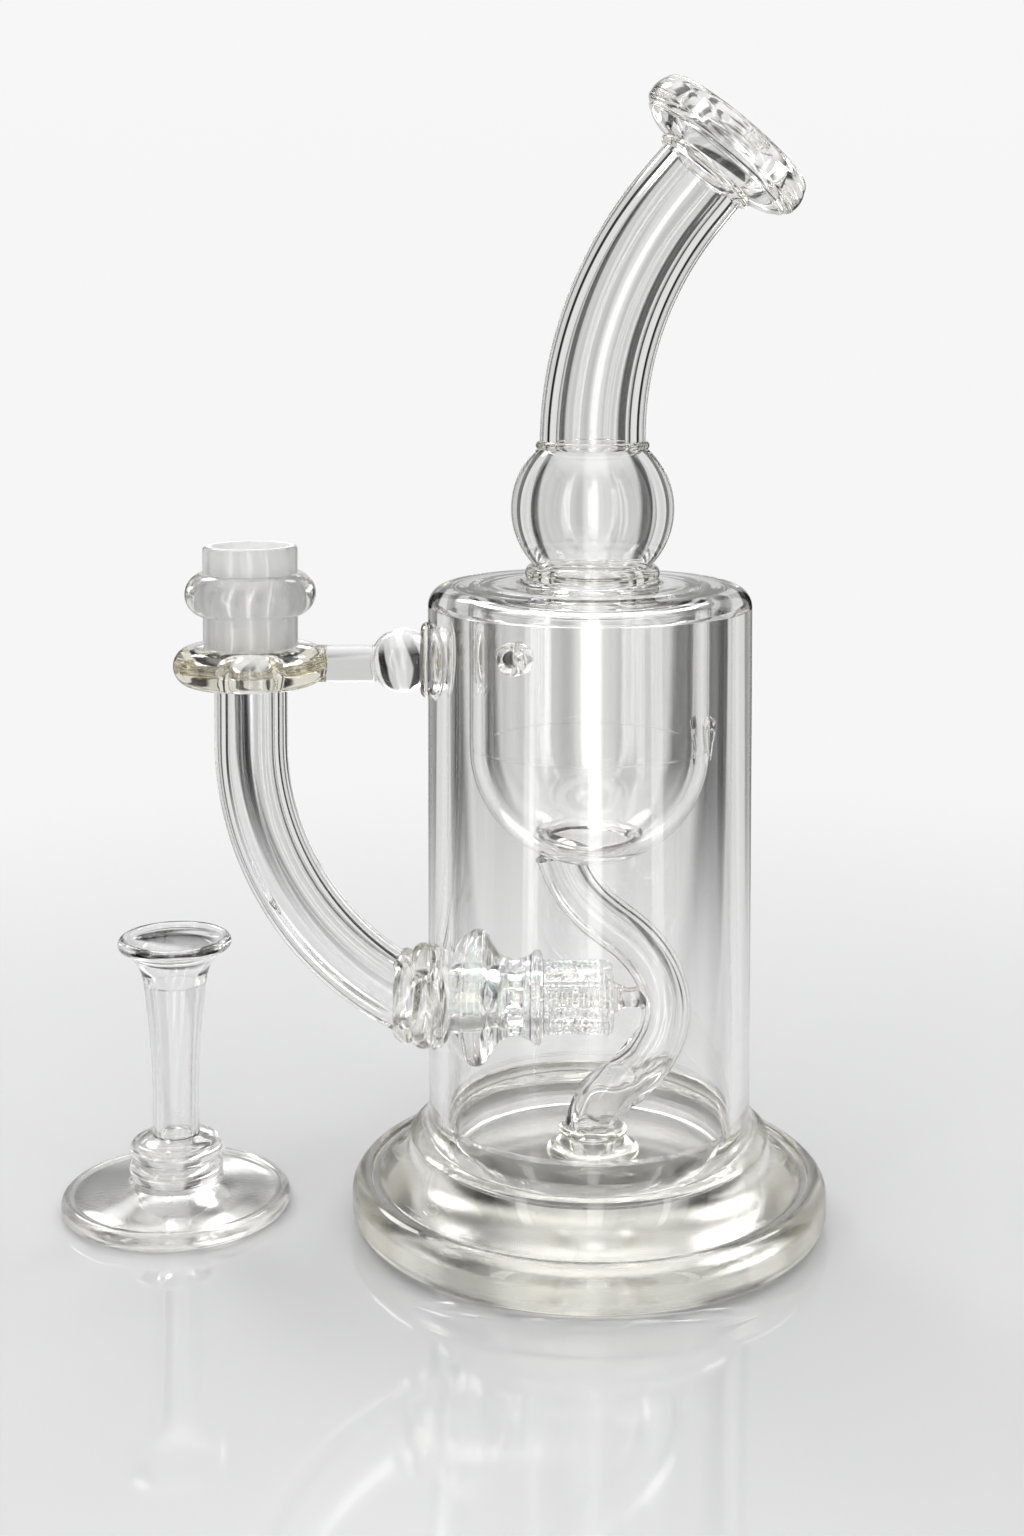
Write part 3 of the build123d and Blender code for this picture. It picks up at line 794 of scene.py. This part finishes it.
def perc_brace():
    """The small glass tip that ties the perc to the S-bend."""
    nub = turned("perc_tip", outline(
        (0, CAP_END - OVERLAP),
        (3.1, CAP_END - OVERLAP),
        (1.9, 7.4, 2.6, 11.0),
        (0, 11.0),
    ), along_x(z=PERC_Z), segments=SMALL_SEGMENTS)
    return cut(nub, [swept("cutter", drain_path(), evenly(DRAIN_R - OVERLAP))])


# The arm, the joint and the brace

def downtube_arm():
    tube = swept("arm", arm_path(), evenly(ARM_R), evenly(ARM_BORE_R), 128)
    return cut(tube, [can_bar()])


def arm_weld_collar():
    collar = turned("arm_weld", outline(
        (0, -36.4),
        (7.2, -36.4),
        (8.6, -34.8, 8.2, -33.0),
        (9.4, -31.8, 9.4, -30.0),
        (9.2, -26.0),
        (0, -26.0),
    ), along_x(z=PERC_Z), ripple(0.3, 7, 41))
    return cut(collar, [swept("cutter", arm_path(), evenly(ARM_R - OVERLAP)), can_bar()])


def collar_outline(inner):
    """The collar's rounded outline, down to an inner radius."""
    half = (COLLAR_TOP - COLLAR_BOTTOM) / 2
    middle = (COLLAR_TOP + COLLAR_BOTTOM) / 2
    flat = COLLAR_R - half
    return [(inner, COLLAR_BOTTOM), (flat, COLLAR_BOTTOM), (COLLAR_R, middle, flat, COLLAR_TOP)]


def joint_collar():
    return turned("joint_collar_glass", outline(
        *collar_outline(ARM_BORE_R),
        (SOCKET_R, COLLAR_TOP),
        (SOCKET_R, SOCKET_BOTTOM),
        (ARM_BORE_R, SOCKET_BOTTOM),
    ), shift(JOINT_X))


def joint_socket():
    mouth = 7.35
    return turned("socket", outline(
        (6.2, SOCKET_BOTTOM - OVERLAP),
        (SOCKET_R, SOCKET_BOTTOM - OVERLAP),
        (SOCKET_R, SOCKET_TOP - 0.6),
        (SOCKET_R - 0.2, SOCKET_TOP - 0.2, SOCKET_R - 0.6, SOCKET_TOP),
        (mouth, SOCKET_TOP),
        (mouth, SOCKET_TOP - 5.0),
    ), shift(JOINT_X))


def joint_ring():
    middle = (RING_BOTTOM + RING_TOP) / 2
    return turned("socket_ring", outline(
        (SOCKET_R - OVERLAP, RING_BOTTOM),
        (9.4, RING_BOTTOM),
        (RING_R, middle, 9.4, RING_TOP),
        (SOCKET_R - OVERLAP, RING_TOP),
    ), shift(JOINT_X))


def ball_x():
    """The middle of the brace's ball, whose right end is trimmed by its pad."""
    return BALL_LEFT + BALL_R


def brace_rod():
    rod = bar(ROD_R, JOINT_X + 10, ball_x() - 1, along_x(z=ROD_Z), "brace_bar")
    inset = BALL_R - OVERLAP
    ball = turned("cutter", outline((0, -inset), (inset, 0, 0, inset)), shift(ball_x(), 0, BRACE_Z))
    solid = collar_outline(0)
    collar = turned("cutter", outline(*solid, (0, COLLAR_TOP)), shift(JOINT_X))
    return cut(rod, [ball, collar])


def brace_ball():
    flat = PAD_X - ball_x()
    rim = sqrt(BALL_R**2 - flat**2)
    return turned("brace_bead", outline(
        (0, -BALL_R), (BALL_R, 0, rim, flat + OVERLAP), (0, flat + OVERLAP)
    ), along_x(ball_x(), BRACE_Z))


def brace_weld_pad():
    pad = turned("brace_weld", outline(
        (0, PAD_X),
        (5.4, PAD_X),
        (6.7, PAD_X + 0.3, 7.0, PAD_X + 1.3),
        (8.0, PAD_X + 1.6, 8.2, PAD_X + 2.6),
        (8.2, -25.0),
        (0, -25.0),
    ), along_x(z=BRACE_Z), ripple(0.2, 7, 51))
    return cut(pad, [can_bar()])


# The small glass beside the vessel

def loose_place():
    """Where the small glass stands."""
    return shift(LOOSE_AT.x, LOOSE_AT.y)


def loose_foot():
    return turned("small_foot", outline(
        (0, 0),
        (19.8, 0),
        (21.0, 0.5, LOOSE_FOOT_R, 1.7),
        (21.0, 2.9, 19.9, 3.4),
        (19.3, 3.1, 18.7, 3.2),
        (9.0, LOOSE_FOOT_TOP - 0.8),
        (8.2, LOOSE_FOOT_TOP),
        (0, LOOSE_FOOT_TOP),
    ), loose_place())


def loose_lower_bead():
    return turned("small_lower_bead", outline(
        (0, LOOSE_FOOT_TOP - OVERLAP),
        (8.2, LOOSE_FOOT_TOP - OVERLAP),
        (8.8, LOOSE_FOOT_TOP + 1.7, 7.8, LOWER_BEAD_TOP),
        (0, LOWER_BEAD_TOP),
    ), loose_place())


def loose_upper_bead():
    hollow = 2.9
    return turned("small_upper_bead", outline(
        (0, LOWER_BEAD_TOP - OVERLAP),
        (7.8, LOWER_BEAD_TOP - OVERLAP),
        (8.7, LOWER_BEAD_TOP + 1.7, 7.0, STEM_BOTTOM - 0.9),
        (4.5, STEM_BOTTOM),
        (hollow, STEM_BOTTOM),
        (hollow * SLANT, STEM_BOTTOM - hollow * SLANT, 0, STEM_BOTTOM - hollow),
    ), loose_place())


def loose_stem():
    return turned("small_stem", outline(
        (2.9, STEM_BOTTOM - OVERLAP),
        (4.4, STEM_BOTTOM - OVERLAP),
        (4.6, 29.5, 5.9, FUNNEL_BOTTOM),
        (4.1, FUNNEL_BOTTOM),
        (3.1, 29.5, 2.9, STEM_BOTTOM - OVERLAP),
    ), loose_place())


def loose_funnel():
    return turned("small_funnel", outline(
        (4.1, FUNNEL_BOTTOM - OVERLAP),
        (5.9, FUNNEL_BOTTOM - OVERLAP),
        (7.2, 46.9, 10.1, 49.6),
        (10.6, 50.8, 9.7, LOOSE_TOP),
        (8.9, 51.5, 8.6, 50.7),
        (5.8, 46.9, 4.1, FUNNEL_BOTTOM - OVERLAP),
    ), loose_place())


# Materials

GLASS_IOR = 1.47
GLASS_TINT = (0.94, 0.92, 0.8)


def new_material(name):
    """A node material, with its node tree and its main shader."""
    material = bpy.data.materials.new(name)
    material.use_nodes = True
    tree = material.node_tree
    return material, tree, tree.nodes["Principled BSDF"]


def ranged(tree, source, low, high):
    """A texture value spread over a range."""
    node = tree.nodes.new("ShaderNodeMapRange")
    node.inputs["To Min"].default_value = low
    node.inputs["To Max"].default_value = high
    tree.links.new(source, node.inputs["Value"])
    return node.outputs["Result"]


def noise(tree, scale, detail=3.0, distortion=0.0):
    """Noise in the object's own space."""
    place = tree.nodes.new("ShaderNodeTexCoord")
    node = tree.nodes.new("ShaderNodeTexNoise")
    node.inputs["Scale"].default_value = scale
    node.inputs["Detail"].default_value = detail
    node.inputs["Distortion"].default_value = distortion
    tree.links.new(place.outputs["Object"], node.inputs["Vector"])
    return node.outputs["Fac"]


def bumped(tree, shader, height, strength, distance):
    """Bumps on a shader, with the distance in metres."""
    node = tree.nodes.new("ShaderNodeBump")
    node.inputs["Strength"].default_value = strength
    node.inputs["Distance"].default_value = distance
    tree.links.new(height, node.inputs["Height"])
    tree.links.new(node.outputs["Normal"], shader.inputs["Normal"])


def tinted(tree, colour, density):
    """A faint tint that deepens with the thickness of the glass."""
    node = tree.nodes.new("ShaderNodeVolumeAbsorption")
    node.inputs["Color"].default_value = (*colour, 1)
    node.inputs["Density"].default_value = density
    output = tree.nodes["Material Output"]
    tree.links.new(node.outputs["Volume"], output.inputs["Volume"])


def see_through(shader, colour, transmission):
    """Makes a shader into glass that lets through so much of the light."""
    shader.inputs["Base Color"].default_value = colour
    shader.inputs["Transmission Weight"].default_value = transmission
    shader.inputs["IOR"].default_value = GLASS_IOR


def glass(name, roughness, waviness, wave_scale, colour, density):
    """Clear glass: faint haze in patches, a slow surface waviness and a tint in the depth."""
    material, tree, shader = new_material(name)
    see_through(shader, (1, 1, 1, 1), 1.0)
    haze = ranged(tree, noise(tree, 90.0), *roughness)
    tree.links.new(haze, shader.inputs["Roughness"])
    bumped(tree, shader, noise(tree, wave_scale, 1.0, 0.4), 1.0, waviness)
    tinted(tree, colour, density)
    return material


def pearly(material):
    """Glass with a thin film that splits the light into faint colours."""
    shader = material.node_tree.nodes["Principled BSDF"]
    shader.inputs["Thin Film Thickness"].default_value = 420.0
    shader.inputs["Thin Film IOR"].default_value = 1.58
    return material


def frosted(name):
    """Ground glass: a fine grain over a rough surface that scatters a little white, and a faint
    white emission that is a painted glow.
    """
    material, tree, shader = new_material(name)
    see_through(shader, (0.98, 0.98, 0.98, 1), 0.4)
    grain = noise(tree, 2600.0, 4.0)
    tree.links.new(ranged(tree, grain, 0.42, 0.62), shader.inputs["Roughness"])
    bumped(tree, shader, grain, 0.5, 0.00006)
    # Painted glow: a faint white emission that brightens the ground glass as if more light reached
    # it
    shader.inputs["Emission Color"].default_value = (1, 1, 1, 1)
    shader.inputs["Emission Strength"].default_value = 0.06
    return material


def satin(name):
    """The ground underside of the feet: glass with a soft grain."""
    material, tree, shader = new_material(name)
    see_through(shader, (1, 1, 1, 1), 1.0)
    grain = noise(tree, 1500.0, 5.0)
    tree.links.new(ranged(tree, grain, 0.06, 0.2), shader.inputs["Roughness"])
    bumped(tree, shader, grain, 0.6, 0.00005)
    tinted(tree, GLASS_TINT, 2.5)
    return material


CLEAR = glass("clear_glass", (0.0, 0.012), 0.00002, 55.0, GLASS_TINT, 8.0)
WELD = glass("weld_glass", (0.0, 0.02), 0.0001, 260.0, (0.93, 0.87, 0.64), 24.0)
PERC = pearly(glass("perc_glass", (0.0, 0.03), 0.00006, 420.0, (0.92, 0.92, 0.84), 4.0))
FROSTED_WITH_PAINTED_GLOW = frosted("frosted_glass")
SATIN = satin("satin_glass")


def give(piece, material, *others):
    """Gives a piece its material, with any others in the slots after it."""
    piece.data.materials.clear()
    for each in (material, *others):
        piece.data.materials.append(each)
    return piece


def second_material_where(piece, test):
    """Puts the piece's second material on the faces whose centre passes the test."""
    for face in piece.data.polygons:
        if test(face.center / MM):
            face.material_index = 1


def on_underside(centre):
    """Whether a place is where a foot rests on the floor."""
    return centre.z < 0.01


def in_socket(centre):
    """Whether a place is well inside the socket's outer wall."""
    return (centre - Vector((JOINT_X, 0, 0))).to_2d().length < SOCKET_R - 0.7


def add(build, body, material, slot, *others):
    """Builds a piece that stands for the CAD node of the same name as its function."""
    piece = give(build(), material, *others)
    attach(piece, body)
    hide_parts(build.__name__)
    return piece


def add_pieces():
    """Builds every piece and gives it its body and its material."""
    foot = add(base_foot, VESSEL, CLEAR, "clear_glass", SATIN)
    second_material_where(foot, on_underside)
    for build in (
        outer_can, can_shoulder, neck_bulb, neck_tube, mouthpiece_lip, inner_drum, drum_bowl,
        s_bend_tube, downtube_arm, joint_ring, brace_rod, brace_ball,
    ):
        add(build, VESSEL, CLEAR, "clear_glass")
    for build in (
        base_flare, neck_weld_ring, neck_seam_ring, mouthpiece_bead, drum_drain_ring,
        drum_hole_lip, drum_slot_lip, drain_foot, perc_brace, arm_weld_collar, joint_collar,
        brace_weld_pad,
    ):
        add(build, VESSEL, WELD, "weld_glass")
    for build in (perc_bell, perc_waist, perc_ring, perc_cap):
        add(build, VESSEL, PERC, "perc_glass")
    socket = add(joint_socket, VESSEL, CLEAR, "frosted_glass", FROSTED_WITH_PAINTED_GLOW)
    second_material_where(socket, in_socket)
    small_foot = add(loose_foot, LOOSE, CLEAR, "loose_clear_glass", SATIN)
    second_material_where(small_foot, on_underside)
    for build in (loose_lower_bead, loose_upper_bead, loose_stem, loose_funnel):
        add(build, LOOSE, CLEAR, "loose_clear_glass")


# The studio

# The floor's own grey, the plain backdrop, and the distances between which one melts into the
# other, in metres
FLOOR_GREY = 0.5
BACKDROP_GREY = 0.92
FLOOR_FADE = (0.06, 0.4)

# What the glass and the floor's gloss see: the light behind, beside and above the object, and
# the dark flags
BACK_LEVEL = 0.6
SIDE_LEVEL = 0.76
TOP_LEVEL = 1.9
FLAG_COUNT = 8
FLAG_DARKNESS = 0.97

# The sines of the elevations between which the ring of flags and softboxes fades out, and the
# light from above comes in
RING_FADE = (0.6, 0.75)
TOP_FADE = (0.72, 0.86)

# Softboxes by azimuth, half width and strength, and round glows by azimuth, elevation, size
# and strength. Angles are in degrees and azimuths turn from +Y towards +X.
SOFTBOXES = ((3, 2.2, 0.16), (178, 4.5, 3.4), (-137, 3.5, 4.0), (134, 2.2, 4.0))
GLOWS = ((-34, 40, 8, 10.0), (42, 46, 6, 8.0))

CAMERA_PLACE = (-0.0144, -0.384, 0.1678)
CAMERA_LENS = 48.8
CAMERA_SHIFT = -0.221
CAMERA_PITCH = radians(3)


def math_node(tree, operation, *values):
    """A math node fed by sockets or plain numbers."""
    node = tree.nodes.new("ShaderNodeMath")
    node.operation = operation
    for index, value in enumerate(values):
        if isinstance(value, (int, float)):
            node.inputs[index].default_value = value
        else:
            tree.links.new(value, node.inputs[index])
    return node.outputs["Value"]


def smooth_range(tree, value, low, high):
    """A value eased from 0 at the low end to 1 at the high end."""
    node = tree.nodes.new("ShaderNodeMapRange")
    node.interpolation_type = "SMOOTHSTEP"
    node.inputs["From Min"].default_value = low
    node.inputs["From Max"].default_value = high
    tree.links.new(value, node.inputs["Value"])
    return node.outputs["Result"]


def glow(tree, axes, azimuth, elevation, size, strength):
    """A round soft light in the sky, with its size as an angle."""
    towards = (
        cos(elevation) * sin(azimuth), cos(elevation) * cos(azimuth), sin(elevation)
    )
    aligned = 0.0
    for axis, part in zip(axes, towards):
        aligned = math_node(tree, "ADD", aligned, math_node(tree, "MULTIPLY", axis, part))
    shape = smooth_range(tree, aligned, cos(size * 1.3), cos(size * 0.7))
    return math_node(tree, "MULTIPLY", shape, strength)


def softbox(tree, azimuth, centre, half_width, strength):
    """A tall soft light round a level direction."""
    aligned = math_node(tree, "COSINE", math_node(tree, "SUBTRACT", azimuth, centre))
    shape = smooth_range(tree, aligned, cos(half_width * 1.3), cos(half_width * 0.7))
    return math_node(tree, "MULTIPLY", shape, strength)


def ring_level(tree, azimuth):
    """The brightness round the object: bright at the sides and greyer straight behind, with
    narrow dark flags and tall softboxes."""
    behind = smooth_range(tree, math_node(tree, "COSINE", azimuth), 0.93, 0.985)
    extra = math_node(tree, "MULTIPLY", behind, BACK_LEVEL - SIDE_LEVEL)
    level = math_node(tree, "ADD", SIDE_LEVEL, extra)
    waves = math_node(tree, "COSINE", math_node(tree, "MULTIPLY", azimuth, FLAG_COUNT))
    flag = math_node(tree, "SUBTRACT", 1.0, smooth_range(tree, waves, -0.76, -0.3))
    shade = math_node(tree, "MULTIPLY", flag, FLAG_DARKNESS)
    level = math_node(tree, "MULTIPLY", level, math_node(tree, "SUBTRACT", 1.0, shade))
    for centre, half_width, strength in SOFTBOXES:
        light = softbox(tree, azimuth, radians(centre), radians(half_width), strength)
        level = math_node(tree, "ADD", level, light)
    return level


def plain_to_camera(tree, level, plain):
    """One brightness for light that is bent or mirrored, and another for the camera's own view."""
    seen = tree.nodes.new("ShaderNodeLightPath")
    mix = tree.nodes.new("ShaderNodeMix")
    mix.data_type = "FLOAT"
    tree.links.new(seen.outputs["Is Camera Ray"], mix.inputs["Factor"])
    tree.links.new(level, mix.inputs["A"])
    if isinstance(plain, (int, float)):
        mix.inputs["B"].default_value = plain
    else:
        tree.links.new(plain, mix.inputs["B"])
    return mix.outputs["Result"]


def studio_floor():
    """A wide glossy pale floor that melts into the backdrop far away from the object."""
    builder = bmesh.new()
    bmesh.ops.create_circle(builder, cap_ends=True, segments=96, radius=14.0)
    mesh = bpy.data.meshes.new("studio_floor")
    builder.to_mesh(mesh)
    builder.free()
    floor = bpy.data.objects.new("studio_floor", mesh)
    bpy.context.scene.collection.objects.link(floor)
    floor.location.z = -0.00005
    material, tree, shader = new_material("studio_floor")
    shader.inputs["Base Color"].default_value = (FLOOR_GREY, FLOOR_GREY, FLOOR_GREY * 1.01, 1)
    shader.inputs["Roughness"].default_value = 0.07
    shader.inputs["IOR"].default_value = 1.75
    place = tree.nodes.new("ShaderNodeTexCoord")
    length = tree.nodes.new("ShaderNodeVectorMath")
    length.operation = "LENGTH"
    tree.links.new(place.outputs["Object"], length.inputs[0])
    far = smooth_range(tree, length.outputs["Value"], *FLOOR_FADE)
    axes = tree.nodes.new("ShaderNodeSeparateXYZ")
    tree.links.new(place.outputs["Object"], axes.inputs["Vector"])
    azimuth = math_node(tree, "ARCTAN2", axes.outputs["X"], axes.outputs["Y"])
    haze = tree.nodes.new("ShaderNodeEmission")
    haze.inputs["Color"].default_value = (1, 1, 1, 1)
    level = plain_to_camera(tree, ring_level(tree, azimuth), BACKDROP_GREY)
    tree.links.new(level, haze.inputs["Strength"])
    mix = tree.nodes.new("ShaderNodeMixShader")
    tree.links.new(far, mix.inputs["Fac"])
    tree.links.new(shader.outputs["BSDF"], mix.inputs[1])
    tree.links.new(haze.outputs["Emission"], mix.inputs[2])
    tree.links.new(mix.outputs["Shader"], tree.nodes["Material Output"].inputs["Surface"])
    give(floor, material)


def studio_light():
    """A pale studio all round, with narrow dark flags and tall bright softboxes set in a ring.
    They show in the glass and in the floor's gloss, and the backdrop itself stays plain."""
    world = bpy.data.worlds.new("studio")
    bpy.context.scene.world = world
    world.use_nodes = True
    tree = world.node_tree
    background = tree.nodes["Background"]
    place = tree.nodes.new("ShaderNodeTexCoord")
    axes = tree.nodes.new("ShaderNodeSeparateXYZ")
    tree.links.new(place.outputs["Generated"], axes.inputs["Vector"])
    x, y, z = axes.outputs
    azimuth = math_node(tree, "ARCTAN2", x, y)
    past_ring = smooth_range(tree, z, *RING_FADE)
    in_ring = math_node(tree, "SUBTRACT", 1.0, past_ring)
    level = math_node(tree, "MULTIPLY", ring_level(tree, azimuth), in_ring)
    upper = math_node(tree, "MULTIPLY", past_ring, SIDE_LEVEL)
    level = math_node(tree, "ADD", level, upper)
    above = math_node(tree, "MULTIPLY", smooth_range(tree, z, *TOP_FADE), TOP_LEVEL)
    level = math_node(tree, "ADD", level, above)
    for centre, elevation, size, strength in GLOWS:
        light = glow(tree, (x, y, z), radians(centre), radians(elevation), radians(size), strength)
        level = math_node(tree, "ADD", level, light)
    rise = math_node(tree, "MULTIPLY", smooth_range(tree, z, 0.0, 0.5), 0.06)
    plain = math_node(tree, "ADD", BACKDROP_GREY, rise)
    background.inputs["Color"].default_value = (1, 1, 1, 1)
    tree.links.new(plain_to_camera(tree, level, plain), background.inputs["Strength"])


def camera():
    """The camera, at eye height above the foot and a little to the joint's side."""
    data = bpy.data.cameras.new("camera")
    data.lens = CAMERA_LENS
    data.shift_y = CAMERA_SHIFT
    data.clip_start = 0.01
    view = bpy.data.objects.new("camera", data)
    view.location = CAMERA_PLACE
    view.rotation_euler = (pi / 2 - CAMERA_PITCH, 0, 0)
    bpy.context.scene.collection.objects.link(view)
    bpy.context.scene.camera = view


def light_paths():
    """Enough bounces for many walls of glass one behind another, and a plain view transform."""
    scene = bpy.context.scene
    scene.cycles.max_bounces = 28
    scene.cycles.transmission_bounces = 28
    scene.cycles.glossy_bounces = 10
    scene.cycles.diffuse_bounces = 3
    scene.cycles.sample_clamp_indirect = 8.0
    scene.cycles.use_denoising = True
    scene.view_settings.view_transform = "Standard"


add_pieces()
studio_floor()
studio_light()
camera()
light_paths()
